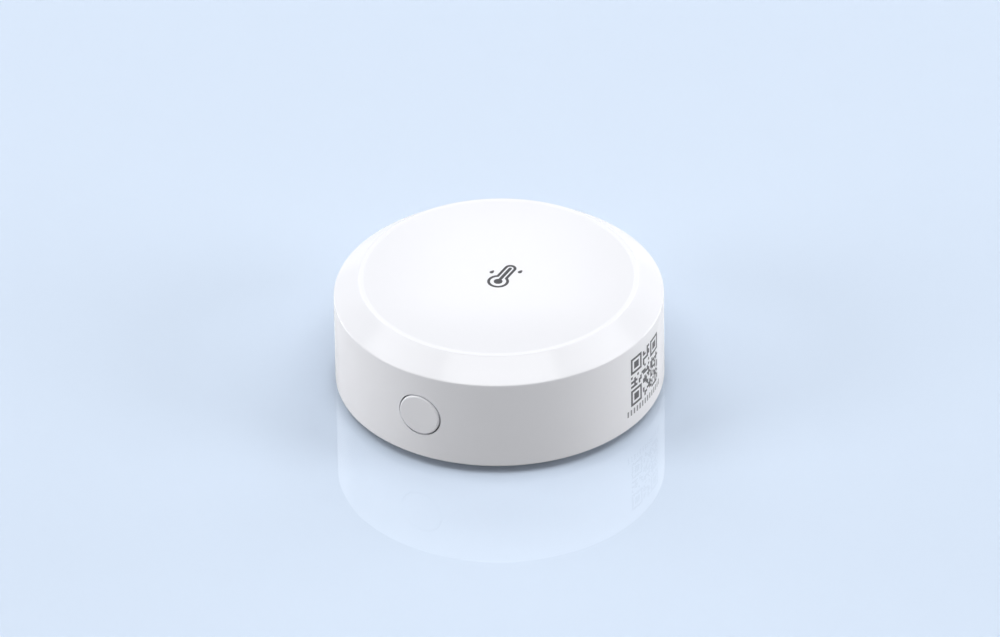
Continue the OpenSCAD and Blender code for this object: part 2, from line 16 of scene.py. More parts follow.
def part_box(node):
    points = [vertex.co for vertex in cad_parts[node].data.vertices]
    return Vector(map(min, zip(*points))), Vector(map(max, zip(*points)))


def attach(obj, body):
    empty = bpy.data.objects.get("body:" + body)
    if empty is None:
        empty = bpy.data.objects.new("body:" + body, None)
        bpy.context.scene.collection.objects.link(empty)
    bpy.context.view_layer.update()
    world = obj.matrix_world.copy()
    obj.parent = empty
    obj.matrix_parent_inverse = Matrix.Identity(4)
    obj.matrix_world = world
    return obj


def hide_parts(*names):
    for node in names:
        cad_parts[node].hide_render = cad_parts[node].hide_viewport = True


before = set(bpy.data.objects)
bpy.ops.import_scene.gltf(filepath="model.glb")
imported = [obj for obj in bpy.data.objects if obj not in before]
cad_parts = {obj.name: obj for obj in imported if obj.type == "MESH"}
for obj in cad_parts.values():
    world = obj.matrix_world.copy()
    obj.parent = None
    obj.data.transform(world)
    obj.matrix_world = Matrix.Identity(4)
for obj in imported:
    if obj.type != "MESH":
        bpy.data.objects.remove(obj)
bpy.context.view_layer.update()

# Upper shell
# One injection moulding: the round wall, the sloping shoulder and the dished top. It is white ABS from
# a spark-eroded tool, which leaves a fine satin grain, and three screws from below hold it to the base.
MM = 0.001


def linear(hex_colour):
    """Linear colour with full alpha from an sRGB hex value."""
    parts = [int(hex_colour[i:i + 2], 16) / 255 for i in (1, 3, 5)]
    return [c / 12.92 if c <= 0.04045 else ((c + 0.055) / 1.055) ** 2.4 for c in parts] + [1.0]


def add_node(tree, kind, inputs, **settings):
    """Adds a shader node. Each input is a plain value, or the output of another node to link."""
    node = tree.nodes.new("ShaderNode" + kind)
    for name, value in settings.items():
        setattr(node, name, value)
    for name, value in inputs.items():
        if isinstance(value, bpy.types.NodeSocket):
            tree.links.new(value, node.inputs[name])
        else:
            node.inputs[name].default_value = value
    return node


def new_material(name):
    """An empty material, and its node tree."""
    material = bpy.data.materials.new(name)
    material.use_nodes = True
    material.node_tree.nodes.clear()
    return material, material.node_tree


def moulded(name, colours, roughness, ior, grain, depth, cloud=8 * MM):
    """Moulded plastic or resin: two near colours in soft clouds, and a grain that breaks the gloss."""
    material, tree = new_material(name)
    place = add_node(tree, "TexCoord", {}).outputs["Object"]
    clouds = add_node(tree, "TexNoise", {"Vector": place, "Scale": 1 / cloud, "Detail": 2.0})
    colour = add_node(tree, "Mix", {
        "Factor": clouds.outputs["Fac"], "A": linear(colours[0]), "B": linear(colours[1]),
    }, data_type="RGBA")
    specks = add_node(tree, "TexNoise", {"Vector": place, "Scale": 1 / grain, "Detail": 3.0})
    gloss = add_node(tree, "MapRange", {
        "Value": specks.outputs["Fac"], "To Min": roughness[0], "To Max": roughness[1],
    })
    bump = add_node(tree, "Bump", {"Height": specks.outputs["Fac"], "Distance": depth, "Strength": 1.0})
    surface = add_node(tree, "BsdfPrincipled", {
        "Base Color": colour.outputs["Result"], "Roughness": gloss.outputs["Result"],
        "Normal": bump.outputs["Normal"], "IOR": ior,
    })
    add_node(tree, "OutputMaterial", {"Surface": surface.outputs["BSDF"]})
    return material


def paint(material, *names):
    """Gives a material to nodes of the construction model."""
    for name in names:
        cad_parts[name].data.materials.clear()
        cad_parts[name].data.materials.append(material)


# The real grain of about 0.05 mm is finer than a pixel, so it is drawn at 0.25 mm and very shallow.
# It gives the eye an even, cool white with soft highlights and no mirror image.
white_abs = moulded(
    "white_satin_abs", ("#F7F8FD", "#F8F9FE"), (0.14, 0.2), 1.53, 0.25 * MM, 0.002 * MM)
paint(white_abs, "upper_shell")

# Side button
# A round push button moulded from the same ABS in the same satin grain. It drops into the wall's hole
# from inside, and its flange keeps it there.
paint(white_abs, "side_button")

# Main board
# A round two-layer board of glass fibre laminate, routed to shape and coated with green solder mask.
# Copper areas show under the mask, with thin lines between them, and the routed edge stays bare.
POUR = 4.5 * MM
VIA_PITCH = 2.4 * MM
PLY = 0.2 * MM
MASK_STEP = 0.02 * MM
# Where a bare line ends and where a via ends, as shares of their pitch.
LINE_EDGE = (0.02, 0.04)
VIA_EDGE = (0.13, 0.16)
# The upright part of the normal, below which a face counts as the board's edge.
EDGE_TILT = (0.4, 0.6)


def laminate(name, mask, copper, edge, roughness):
    """Coated circuit board: copper areas and covered vias on its faces, bare plies round its edge."""
    material, tree = new_material(name)
    coords = add_node(tree, "TexCoord", {}).outputs
    place = coords["Object"]
    areas = add_node(tree, "TexVoronoi", {
        "Vector": place, "Scale": 1 / POUR,
    }, voronoi_dimensions="2D", feature="DISTANCE_TO_EDGE")
    poured = add_node(tree, "MapRange", {
        "Value": areas.outputs["Distance"], "From Min": LINE_EDGE[0], "From Max": LINE_EDGE[1],
    })
    holes = add_node(tree, "TexVoronoi", {
        "Vector": place, "Scale": 1 / VIA_PITCH, "Randomness": 0.5,
    }, voronoi_dimensions="2D")
    vias = add_node(tree, "MapRange", {
        "Value": holes.outputs["Distance"], "From Min": VIA_EDGE[1], "From Max": VIA_EDGE[0],
    })
    face = add_node(tree, "Mix", {
        "Factor": poured.outputs["Result"], "A": linear(mask), "B": linear(copper[0]),
    }, data_type="RGBA")
    face = add_node(tree, "Mix", {
        "Factor": vias.outputs["Result"], "A": face.outputs["Result"], "B": linear(copper[1]),
    }, data_type="RGBA")
    # The real plies are about 0.05 mm thick, and are drawn at 0.2 mm to show. At a scale of 1 the wave
    # repeats after a tenth of pi.
    plies = add_node(tree, "TexWave", {
        "Vector": place, "Scale": math.pi / (10 * PLY), "Distortion": 1.5, "Detail": 2.0,
    }, bands_direction="Z")
    side = add_node(tree, "Mix", {
        "Factor": plies.outputs["Fac"], "A": linear(edge[0]), "B": linear(edge[1]),
    }, data_type="RGBA")
    normal = add_node(tree, "SeparateXYZ", {"Vector": coords["Normal"]})
    level = add_node(tree, "Math", {0: normal.outputs["Z"]}, operation="ABSOLUTE")
    flat = add_node(tree, "MapRange", {
        "Value": level.outputs[0], "From Min": EDGE_TILT[0], "From Max": EDGE_TILT[1],
    })
    colour = add_node(tree, "Mix", {
        "Factor": flat.outputs["Result"], "A": side.outputs["Result"], "B": face.outputs["Result"],
    }, data_type="RGBA")
    gloss = add_node(tree, "MapRange", {
        "Value": flat.outputs["Result"], "To Min": roughness[0], "To Max": roughness[1],
    })
    height = add_node(tree, "Math", {
        0: poured.outputs["Result"], 1: vias.outputs["Result"],
    }, operation="ADD")
    bump = add_node(tree, "Bump", {"Height": height.outputs[0], "Distance": MASK_STEP, "Strength": 0.6})
    surface = add_node(tree, "BsdfPrincipled", {
        "Base Color": colour.outputs["Result"], "Roughness": gloss.outputs["Result"],
        "Normal": bump.outputs["Normal"], "IOR": 1.55,
    })
    add_node(tree, "OutputMaterial", {"Surface": surface.outputs["BSDF"]})
    return material


# Solder mask is a thin glossy lacquer: copper below it shifts its green and shows as a low step.
green_board = laminate(
    "green_masked_laminate", "#0B3A20", ("#15532F", "#3C7A50"), ("#A8966A", "#C6B689"), (0.75, 0.28))
paint(green_board, "main_board", "radio_board")

# Push switch
# A bought side-push switch soldered under the board's front edge. Black heat-proof plastic holds a
# sprung metal leaf, a tinned cover is clipped round it, and an ivory stem takes the button's push.
STREAK_WIDTH_SHARE = 0.06


def plated(name, colours, roughness, streak, depth, along=None):
    """Plated or rolled metal. Two near tones lie in flecks, or in streaks along one axis."""
    material, tree = new_material(name)
    place = add_node(tree, "TexCoord", {}).outputs["Object"]
    if along is not None:
        stretch = [1.0, 1.0, 1.0]
        stretch[along] = STREAK_WIDTH_SHARE
        place = add_node(tree, "Mapping", {"Vector": place, "Scale": stretch}).outputs["Vector"]
    flecks = add_node(tree, "TexNoise", {"Vector": place, "Scale": 1 / streak, "Detail": 4.0})
    colour = add_node(tree, "Mix", {
        "Factor": flecks.outputs["Fac"], "A": linear(colours[0]), "B": linear(colours[1]),
    }, data_type="RGBA")
    gloss = add_node(tree, "MapRange", {
        "Value": flecks.outputs["Fac"], "From Min": 0.3, "From Max": 0.7,
        "To Min": roughness[0], "To Max": roughness[1],
    })
    bump = add_node(tree, "Bump", {"Height": flecks.outputs["Fac"], "Distance": depth, "Strength": 1.0})
    surface = add_node(tree, "BsdfPrincipled", {
        "Base Color": colour.outputs["Result"], "Roughness": gloss.outputs["Result"],
        "Normal": bump.outputs["Normal"], "Metallic": 1.0,
    })
    add_node(tree, "OutputMaterial", {"Surface": surface.outputs["BSDF"]})
    return material


# Glass-filled plastic is a deep matt black with fibre flecks, and acetal a waxy ivory.
black_plastic = moulded(
    "glass_filled_nylon", ("#17171A", "#222226"), (0.48, 0.66), 1.53, 0.12 * MM, 0.004 * MM,
    cloud=2 * MM)
ivory_acetal = moulded(
    "ivory_acetal", ("#D6D0C0", "#DED9CB"), (0.3, 0.4), 1.48, 0.15 * MM, 0.002 * MM, cloud=1 * MM)
# Tin plate is a soft white metal whose dip leaves broad dull and bright flecks.
tin_plate = plated("tinned_steel", ("#B9BABA", "#D2D3D3"), (0.25, 0.45), 0.9 * MM, 0.002 * MM)
# Spring strip keeps its fine rolling lines under a warm nickel.
nickel_strip = plated(
    "nickel_plated_spring_bronze", ("#BDB6A8", "#D3CDC0"), (0.2, 0.36), 0.15 * MM, 0.002 * MM, along=0)
paint(black_plastic, "switch_housing")
paint(ivory_acetal, "switch_stem")
paint(nickel_strip, "switch_leaf")
paint(tin_plate, "switch_cover", "switch_terminals")

# Temperature and humidity chip
# A small open chip on the board's underside, next to the base's vents. It is cast in black epoxy, and a
# white membrane of stretched PTFE keeps dust out of its window.
PORE_EDGE_SHARES = (0.15, 0.65)


def porous(name, colours, cell, depth, roughness, ior):
    """Foamed or fibrous stuff: pale walls round darker pores of one usual size."""
    material, tree = new_material(name)
    place = add_node(tree, "TexCoord", {}).outputs["Object"]
    pores = add_node(tree, "TexVoronoi", {"Vector": place, "Scale": 1 / cell, "Randomness": 1.0})
    wall = add_node(tree, "MapRange", {
        "Value": pores.outputs["Distance"],
        "From Min": PORE_EDGE_SHARES[0], "From Max": PORE_EDGE_SHARES[1],
    })
    colour = add_node(tree, "Mix", {
        "Factor": wall.outputs["Result"], "A": linear(colours[0]), "B": linear(colours[1]),
    }, data_type="RGBA")
    bump = add_node(tree, "Bump", {
        "Height": wall.outputs["Result"], "Distance": depth, "Strength": 1.0,
    })
    surface = add_node(tree, "BsdfPrincipled", {
        "Base Color": colour.outputs["Result"], "Roughness": roughness,
        "Normal": bump.outputs["Normal"], "IOR": ior,
    })
    add_node(tree, "OutputMaterial", {"Surface": surface.outputs["BSDF"]})
    return material


# Cast epoxy is near black with a dusty bloom. Stretched PTFE is chalk white, and its pores of a few
# thousandths of a millimetre are drawn at 0.08 mm.
black_epoxy = moulded(
    "black_cast_epoxy", ("#131315", "#1D1D20"), (0.5, 0.68), 1.55, 0.1 * MM, 0.004 * MM, cloud=1.5 * MM)
membrane = porous("stretched_ptfe", ("#DAD9D4", "#F0EFEB"), 0.08 * MM, 0.01 * MM, 0.8, 1.35)
paint(black_epoxy, "sensor_chip")
paint(membrane, "sensor_filter")

# Radio module and crystal
# A small board soldered flat on the main one. Its chip sits under a stamped tin-plate can, and its bare
# copper antenna winds along the free end. The crystal in its tinned case keeps the board's clock.
# Bare copper is a warm pink brown that has begun to dull.
copper = plated("bare_copper", ("#B06A42", "#C98A5E"), (0.28, 0.48), 0.4 * MM, 0.002 * MM)
paint(black_epoxy, "radio_chip")
paint(tin_plate, "radio_shield", "crystal")
paint(copper, "antenna_track")

# Capacitors and resistors
# Chip parts of 1.6 by 0.8 mm, placed by machine and soldered. The capacitors are fired brown ceramic,
# the resistors black-coated alumina, and both have dipped tin ends that are added here.
END_SHARE = 0.2
END_SKIN = 0.012 * MM
END_ROUND = 0.05 * MM
END_STEPS = 3
TINY = 0.001 * MM
SHARP_EDGE = math.radians(40)


def solids(node):
    """Lowest and highest corner of each separate solid in a node of the construction model."""
    bm = bmesh.new()
    bm.from_mesh(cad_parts[node].data)
    bmesh.ops.remove_doubles(bm, verts=bm.verts, dist=TINY)
    boxes = []
    left = set(bm.verts)
    while left:
        group = []
        front = [left.pop()]
        while front:
            vertex = front.pop()
            group.append(vertex)
            beside = {edge.other_vert(vertex) for edge in vertex.link_edges} & left
            left -= beside
            front.extend(beside)
        low = Vector([min(v.co[i] for v in group) for i in range(3)])
        high = Vector([max(v.co[i] for v in group) for i in range(3)])
        boxes.append((low, high))
    bm.free()
    return sorted(boxes, key=lambda box: tuple(round(c / TINY) for c in box[0]))


def add_block(bm, low, high, rounding):
    """Adds a box with rounded edges to a mesh."""
    made = bmesh.ops.create_cube(bm, size=1.0)["verts"]
    size = high - low
    for vertex in made:
        vertex.co = (low + high) / 2 + Vector([vertex.co[i] * size[i] for i in range(3)])
    edges = list({edge for vertex in made for edge in vertex.link_edges})
    bmesh.ops.bevel(
        bm, geom=edges, offset=rounding, segments=END_STEPS, profile=0.5, affect="EDGES")


def add_piece(name, bm, material, body):
    """Turns a mesh into a shaded piece that moves with a body."""
    bmesh.ops.recalc_face_normals(bm, faces=bm.faces)
    mesh = bpy.data.meshes.new(name)
    bm.to_mesh(mesh)
    bm.free()
    for polygon in mesh.polygons:
        polygon.use_smooth = True
    mesh.set_sharp_from_angle(angle=SHARP_EDGE)
    mesh.materials.append(material)
    piece = bpy.data.objects.new(name, mesh)
    bpy.context.scene.collection.objects.link(piece)
    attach(piece, body)
    return piece


def add_ends(name, node):
    """Dipped tin ends on each chip part of a node, proud of its body on every side but the board's."""
    bm = bmesh.new()
    for low, high in solids(node):
        size = high - low
        long_axis = 0 if size.x > size.y else 1
        on_top = low.z > board_low.z
        for at_high in (False, True):
            end_low = low - Vector((END_SKIN, END_SKIN, 0 if on_top else END_SKIN))
            end_high = high + Vector((END_SKIN, END_SKIN, END_SKIN if on_top else 0))
            if at_high:
                end_low[long_axis] = high[long_axis] - END_SHARE * size[long_axis]
            else:
                end_high[long_axis] = low[long_axis] + END_SHARE * size[long_axis]
            add_block(bm, end_low, end_high, END_ROUND)
    return add_piece(name, bm, tin_plate, "housing")


board_low, board_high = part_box("main_board")
# Fired ceramic is a dry, even brown with a fine speckle.
brown_ceramic = moulded(
    "fired_ceramic", ("#8A6A45", "#A07E56"), (0.5, 0.62), 1.6, 0.06 * MM, 0.002 * MM, cloud=0.6 * MM)
paint(brown_ceramic, "capacitors")
paint(black_epoxy, "resistors")
add_ends("capacitor_ends", "capacitors")
add_ends("resistor_ends", "resistors")

# Status lamp
# A chip LED on the board behind the button, whose light shows through the gap round it. Clear epoxy
# lies over a pale yellow phosphor, and the ends are dipped like those of the other chip parts.
# Clear epoxy gives the straw yellow below it a wet gloss.
led_resin = moulded(
    "epoxy_over_phosphor", ("#E8E0A8", "#F0EAC0"), (0.12, 0.2), 1.53, 0.2 * MM, 0.001 * MM,
    cloud=0.5 * MM)
paint(led_resin, "status_led")
add_ends("led_ends", "status_led")

# Board legend
# White epoxy ink, screen-printed on the board's upper face before its parts are placed: a plain frame
# round each chip part and the crystal, with no lettering.
LEGEND_GAP = 0.22 * MM
LEGEND_STROKE = 0.12 * MM
LEGEND_FILM = 0.012 * MM


def add_film(bm, side_a, side_b, place, thickness, closed=False):
    """Adds a thin closed film between two rows of points, which place() puts on a surface."""
    rows = [
        [bm.verts.new(place(*point, lift)) for point in side]
        for lift in (thickness, 0) for side in (side_a, side_b)
    ]
    outer_a, outer_b, inner_a, inner_b = rows
    count = len(side_a)
    for i in range(count if closed else count - 1):
        j = (i + 1) % count
        bm.faces.new((outer_a[i], outer_a[j], outer_b[j], outer_b[i]))
        bm.faces.new((inner_a[i], inner_b[i], inner_b[j], inner_a[j]))
        bm.faces.new((outer_a[i], inner_a[i], inner_a[j], outer_a[j]))
        bm.faces.new((outer_b[i], outer_b[j], inner_b[j], inner_b[i]))
    if not closed:
        for i in (0, -1):
            bm.faces.new((outer_a[i], outer_b[i], inner_b[i], inner_a[i]))


def around_part(low, high, grow):
    """The four corners of a rectangle round a part, grown on every side."""
    return [(low.x - grow, low.y - grow), (high.x + grow, low.y - grow),
            (high.x + grow, high.y + grow), (low.x - grow, high.y + grow)]


def on_board(x, y, lift):
    """Point on the board's upper face."""
    return x, y, board_high.z + lift


bm = bmesh.new()
for node in ("capacitors", "resistors", "crystal"):
    for low, high in solids(node):
        inside = around_part(low, high, LEGEND_GAP)
        outside = around_part(low, high, LEGEND_GAP + LEGEND_STROKE)
        add_film(bm, inside, outside, on_board, LEGEND_FILM, closed=True)
# Legend ink is a chalky white without the mask's gloss.
legend_ink = moulded(
    "white_epoxy_ink", ("#DADBD6", "#E6E7E2"), (0.6, 0.75), 1.5, 0.1 * MM, 0.001 * MM, cloud=0.8 * MM)
add_piece("board_legend", bm, legend_ink, "housing")

# Battery holder and contacts
# A black nylon ring under the board takes the cell. A sprung finger at its wall touches the can, and a
# second one in its floor the cap. Both are stamped from nickel-plated bronze and soldered to the board.
paint(black_plastic, "battery_holder")
paint(nickel_strip, "positive_contact", "negative_contact")

# Screws
# Small cross-head screws of zinc-plated steel: two hold the board to the shell's posts, and three hold
# the base to the shell, under the foot ring.
# Bright zinc has a cool cast with faint cloudy flecks.
zinc_steel = plated("zinc_plated_steel", ("#AEB4BA", "#C6CACD"), (0.24, 0.42), 0.5 * MM, 0.002 * MM)
paint(zinc_steel, "board_screws", "base_screws")

# Base cover
# The moulding that closes the shell from below, in the same white ABS. It carries the foot ring, the
# slots that let room air reach the chip, and the opening for the battery door.
paint(white_abs, "base_cover")

# Foot ring
# A soft ring die-cut from grey foamed silicone, with edges that the knife has rounded. It is glued into
# the base's groove and hides the screws.
FOOT_ROUND = 0.22 * MM
ROUND_STEPS = 6
LATHE_STEPS = 192


def rounded(corners, rounding):
    """Outline through corners, each of which a small curve replaces where its rounding isn't nought."""
    outline = []
    for i, (corner, size) in enumerate(zip(corners, rounding)):
        point = Vector(corner)
        before = (Vector(corners[i - 1]) - point).normalized() * size
        after = (Vector(corners[(i + 1) % len(corners)]) - point).normalized() * size
        steps = ROUND_STEPS if size else 0
        for step in range(steps + 1):
            share = step / steps if steps else 0
            outline.append(point + before * (1 - share) ** 2 + after * share ** 2)
    return outline


def add_lathe(bm, outline):
    """Adds the ring or disc that a closed outline of radius and height sweeps round the Z axis."""
    rings = []
    for i in range(LATHE_STEPS):
        turn = 2 * math.pi * i / LATHE_STEPS
        rings.append([bm.verts.new((r * math.cos(turn), r * math.sin(turn), z)) for r, z in outline])
    for i, ring in enumerate(rings):
        beside = rings[(i + 1) % LATHE_STEPS]
        for j in range(len(outline)):
            k = (j + 1) % len(outline)
            if outline[j].x > TINY or outline[k].x > TINY:
                bm.faces.new((ring[j], beside[j], beside[k], ring[k]))
    bmesh.ops.remove_doubles(bm, verts=bm.verts, dist=TINY)


def inner_radius(node):
    """Smallest distance of a node's points from the Z axis."""
    return min(math.hypot(v.co.x, v.co.y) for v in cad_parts[node].data.vertices)


foot_low, foot_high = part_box("foot_pad")
foot_in = inner_radius("foot_pad")
bm = bmesh.new()
add_lathe(bm, rounded([
    (foot_in, foot_low.z), (foot_high.x, foot_low.z),
    (foot_high.x, foot_high.z), (foot_in, foot_high.z),
], [FOOT_ROUND] * 4))
# Foamed silicone is a dull mid grey with closed pores of about 0.1 mm, drawn at 0.2 mm.
foot_silicone = porous("foamed_silicone", ("#4C4E51", "#5B5D60"), 0.2 * MM, 0.02 * MM, 0.85, 1.41)
foot_ring = add_piece("foot_ring", bm, foot_silicone, "housing")
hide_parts("foot_pad")

# Coin cell
# A lithium cell of 24.5 by 5 mm: a drawn can of nickel-plated steel, a cap of the same steel that
# stands proud of it, and a nylon ring crimped between them.
# Drawn nickel plate is bright with a faint warm cast and fine rubbed lines.
nickel_steel = plated(
    "nickel_plated_drawn_steel", ("#C3C1BB", "#D8D6D0"), (0.16, 0.3), 0.25 * MM, 0.001 * MM, along=1)
# Undyed nylon is a dull cream.
natural_nylon = moulded(
    "natural_nylon", ("#D3CDB8", "#DDD8C6"), (0.35, 0.48), 1.53, 0.1 * MM, 0.002 * MM, cloud=1 * MM)
paint(nickel_steel, "coin_cell_can", "coin_cell_cap")
paint(natural_nylon, "coin_cell_seal")

# Battery door
# A white ABS disc that a coin turns by its slot. Three lugs on its skirt lock behind the base's ledge,
# and a disc of black foam glued inside it presses the cell against its contact.
PAD_ROUND = 0.12 * MM
paint(white_abs, "battery_door")
pad_low, pad_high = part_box("door_pad")
bm = bmesh.new()
add_lathe(bm, rounded([
    (0, pad_low.z), (pad_high.x, pad_low.z), (pad_high.x, pad_high.z), (0, pad_high.z),
], [0, PAD_ROUND, PAD_ROUND, 0]))
# Open-cell foam is a soot black that swallows light, with pores of about 0.3 mm.
black_foam = porous("open_cell_urethane_foam", ("#151516", "#2C2C2E"), 0.3 * MM, 0.06 * MM, 0.95, 1.4)
door_foam = add_piece("door_foam", bm, black_foam, "door")
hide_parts("door_pad")

# Printed sign
# A plain thermometer with two drops, pad-printed in grey ink in the middle of the dish. It stands
# upright when the button faces the reader.
INK_FILM = 0.012 * MM
SIGN_X = -0.2 * MM
BULB_Y = 0.2 * MM
TUBE_END_Y = 3.64 * MM
BULB = 1.49 * MM
BULB_STEPS = 20
TUBE = 0.85 * MM
TUBE_STEPS = 8
STROKE = 0.39 * MM
MERCURY = 0.6 * MM
MERCURY_LINE = 0.23 * MM
DROPS = [(-2.05 * MM, 1.71 * MM), (1.36 * MM, 3.5 * MM)]
DROP = 0.28 * MM
DROP_TIP = 0.14 * MM
DROP_LENGTH = 0.36 * MM
DROP_SIDE = 20
DROP_STEPS = 10
TIP_STEPS = 6
DROP_LEAN = math.radians(9)
shell_low, shell_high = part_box("upper_shell")
shell_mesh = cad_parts["upper_shell"].data
shell_surface = BVHTree.FromPolygons(
    [v.co for v in shell_mesh.vertices], [list(p.vertices) for p in shell_mesh.polygons])


def on_dish(x, y, lift):
    """Point on the dish below a place seen from above."""
    above = Vector((x, y, shell_high.z + MM))
    return shell_surface.ray_cast(above, Vector((0, 0, -1)))[0] + Vector((0, 0, lift))


def arc(centre, radius, start, end, steps):
    """Points along an arc between two angles in degrees."""
    angles = [math.radians(start + (end - start) * i / steps) for i in range(steps + 1)]
    return [(centre[0] + radius * math.cos(a), centre[1] + radius * math.sin(a)) for a in angles]


def thermometer_half(bulb, tube):
    """Right half of a bulb with a round-ended tube above it, from the lowest point to the highest."""
    neck = math.degrees(math.acos(tube / bulb))
    round_bulb = arc((SIGN_X, BULB_Y), bulb, -90, neck, BULB_STEPS)
    return round_bulb + arc((SIGN_X, TUBE_END_Y), tube, 0, 90, TUBE_STEPS)


def mirrored(points):
    """The same points on the other side of the sign's middle line."""
    return [(2 * SIGN_X - x, y) for x, y in points]


bm = bmesh.new()
outer = thermometer_half(BULB, TUBE)
inner = thermometer_half(BULB - STROKE, TUBE - STROKE)
outer_loop, inner_loop = [half + mirrored(half)[-2:0:-1] for half in (outer, inner)]
add_film(bm, outer_loop, inner_loop, on_dish, INK_FILM, closed=True)
filling = thermometer_half(MERCURY, MERCURY_LINE)
add_film(bm, filling, mirrored(filling), on_dish, INK_FILM)
cos_lean = math.cos(DROP_LEAN)
sin_lean = math.sin(DROP_LEAN)
# A drop tapers from a round foot to a small round tip, and its straight sides leave both at one turn.
half = arc((0, 0), DROP, -90, DROP_SIDE, DROP_STEPS)
half += arc((0, DROP_LENGTH), DROP_TIP, DROP_SIDE, 90, TIP_STEPS)
halves = [[(side * u, v) for u, v in half] for side in (1, -1)]
for x, y in DROPS:
    add_film(bm, *[
        [(x + u * cos_lean + v * sin_lean, y + v * cos_lean - u * sin_lean) for u, v in points]
        for points in halves
    ], on_dish, INK_FILM)
bmesh.ops.remove_doubles(bm, verts=bm.verts, dist=TINY)
# Pad-printing ink dries to a dense satin grey, a little uneven where the pad has lifted.
sign_ink = moulded(
    "dark_grey_pad_ink", ("#4E4F53", "#55565A"), (0.4, 0.5), 1.5, 0.15 * MM, 0.001 * MM,
    cloud=0.6 * MM)
add_piece("printed_sign", bm, sign_ink, "housing")

# Printed code
# A square block of cells with three corner squares, and a row of plain bars under it, printed on the
# wall to the button's right. The cells are drawn by lot, so they stand for no data.
CODE_TURN = math.radians(91.2)
CODE_TOP = 12.54 * MM
CELLS = 21
CELL = 0.37 * MM
CORNER = 7
CELL_JOIN = 0.004 * MM
CELL_INK = CELL - 2 * CELL_JOIN
DARK_SHARE = 0.5
LOT_START = 5
BARS = 14
BAR_PITCH = 0.7 * MM
BAR = 0.3 * MM
BAR_LOW = 3.4 * MM
BAR_HIGH = 4.3 * MM
wall_r = shell_high.x
code_left = CODE_TURN * wall_r - CELLS * CELL / 2
bars_left = CODE_TURN * wall_r - BARS * BAR_PITCH / 2


def on_wall(along, z, lift):
    """Point on the round wall at a length along it from the middle of the button."""
    turn = along / wall_r
    outward = Vector((math.sin(turn), -math.cos(turn), 0))
    start = outward * 2 * wall_r + Vector((0, 0, z))
    return shell_surface.ray_cast(start, -outward)[0] + outward * lift


def add_mark(bm, left, right, low, high):
    """Adds an upright rectangle of ink on the wall."""
    add_film(bm, [(left, low), (left, high)], [(right, low), (right, high)], on_wall, INK_FILM)


def corner_square(column, row):
    """Whether a cell is dark in one of the three corner squares, or None outside them."""
    for left, top in ((0, 0), (CELLS - CORNER, 0), (0, CELLS - CORNER)):
        from_middle = max(abs(column - left - CORNER // 2), abs(row - top - CORNER // 2))
        if from_middle <= CORNER // 2 + 1:
            return from_middle in (0, 1, CORNER // 2)
    return None


lot = random.Random(LOT_START)
bm = bmesh.new()
for row in range(CELLS):
    for column in range(CELLS):
        drawn = lot.random() < DARK_SHARE
        fixed = corner_square(column, row)
        if fixed if fixed is not None else drawn:
            left = code_left + column * CELL + CELL_JOIN
            low = CODE_TOP - (row + 1) * CELL + CELL_JOIN
            add_mark(bm, left, left + CELL_INK, low, low + CELL_INK)
# Marking ink on the wall is a flat mid grey, and its thin bars dry paler.
code_ink = moulded(
    "grey_marking_ink", ("#5C5D61", "#646569"), (0.42, 0.52), 1.5, 0.15 * MM, 0.001 * MM,
    cloud=0.8 * MM)
add_piece("printed_code", bm, code_ink, "housing")

bm = bmesh.new()
for i in range(BARS):
    left = bars_left + i * BAR_PITCH + (BAR_PITCH - BAR) / 2
    add_mark(bm, left, left + BAR, BAR_LOW, BAR_HIGH)
bar_ink = moulded(
    "pale_marking_ink", ("#8A8B8F", "#929397"), (0.42, 0.52), 1.5, 0.15 * MM, 0.001 * MM,
    cloud=0.8 * MM)
add_piece("printed_bars", bm, bar_ink, "housing")

# Stage
# A polished pale sheet under soft boxes: one above the front, and at each side a high one, a low one
# and two behind. A small dim card behind makes the flat rim stand out, and a pale horizon stands for
# the room.
CAMERA_TURN = math.radians(29.3)
SHEET_HALF = 4.0
COAT_LIFT = 0.02 * MM
COAT_SHARE = 0.07
COAT_ROUGHNESS = 0.008


def away(turn, rise):
    """Direction from the sensor, turned from the button's side and raised above the table."""
    return Vector((math.sin(turn) * math.cos(rise), -math.cos(turn) * math.cos(rise), math.sin(rise)))


def seen_rays(tree):
    """1 for rays that show the stage to the eye, by gloss or glass too, and 0 for its own light."""
    path = add_node(tree, "LightPath", {}).outputs
    seen = path["Is Camera Ray"]
    for kind in ("Is Glossy Ray", "Is Transmission Ray"):
        seen = add_node(tree, "Math", {0: seen, 1: path[kind]}, operation="MAXIMUM").outputs[0]
    return seen


def add_sheet(name, z, material):
    """A large level sheet of the stage."""
    mesh = bpy.data.meshes.new(name)
    corners = [(-1, -1), (1, -1), (1, 1), (-1, 1)]
    mesh.from_pydata([(x * SHEET_HALF, y * SHEET_HALF, z) for x, y in corners], [], [(0, 1, 2, 3)])
    mesh.materials.append(material)
    sheet = bpy.data.objects.new(name, mesh)
    bpy.context.scene.collection.objects.link(sheet)
    return sheet


# The sheet looks pale blue to the eye. It throws back a neutral grey and shows near white in gloss, so
# that the white plastic keeps its colour.
pale_sheet, tree = new_material("pale_blue_sheet")
tint = add_node(tree, "Mix", {
    "Factor": seen_rays(tree), "A": linear("#B1B1B1"), "B": linear("#DAE8FA"),
}, data_type="RGBA")
in_gloss = add_node(tree, "LightPath", {}).outputs["Is Glossy Ray"]
tint = add_node(tree, "Mix", {
    "Factor": in_gloss, "A": tint.outputs["Result"], "B": linear("#F0F3F8"),
}, data_type="RGBA")
matt = add_node(tree, "BsdfDiffuse", {"Color": tint.outputs["Result"]})
add_node(tree, "OutputMaterial", {"Surface": matt.outputs["BSDF"]})
add_sheet("floor", 0, pale_sheet)
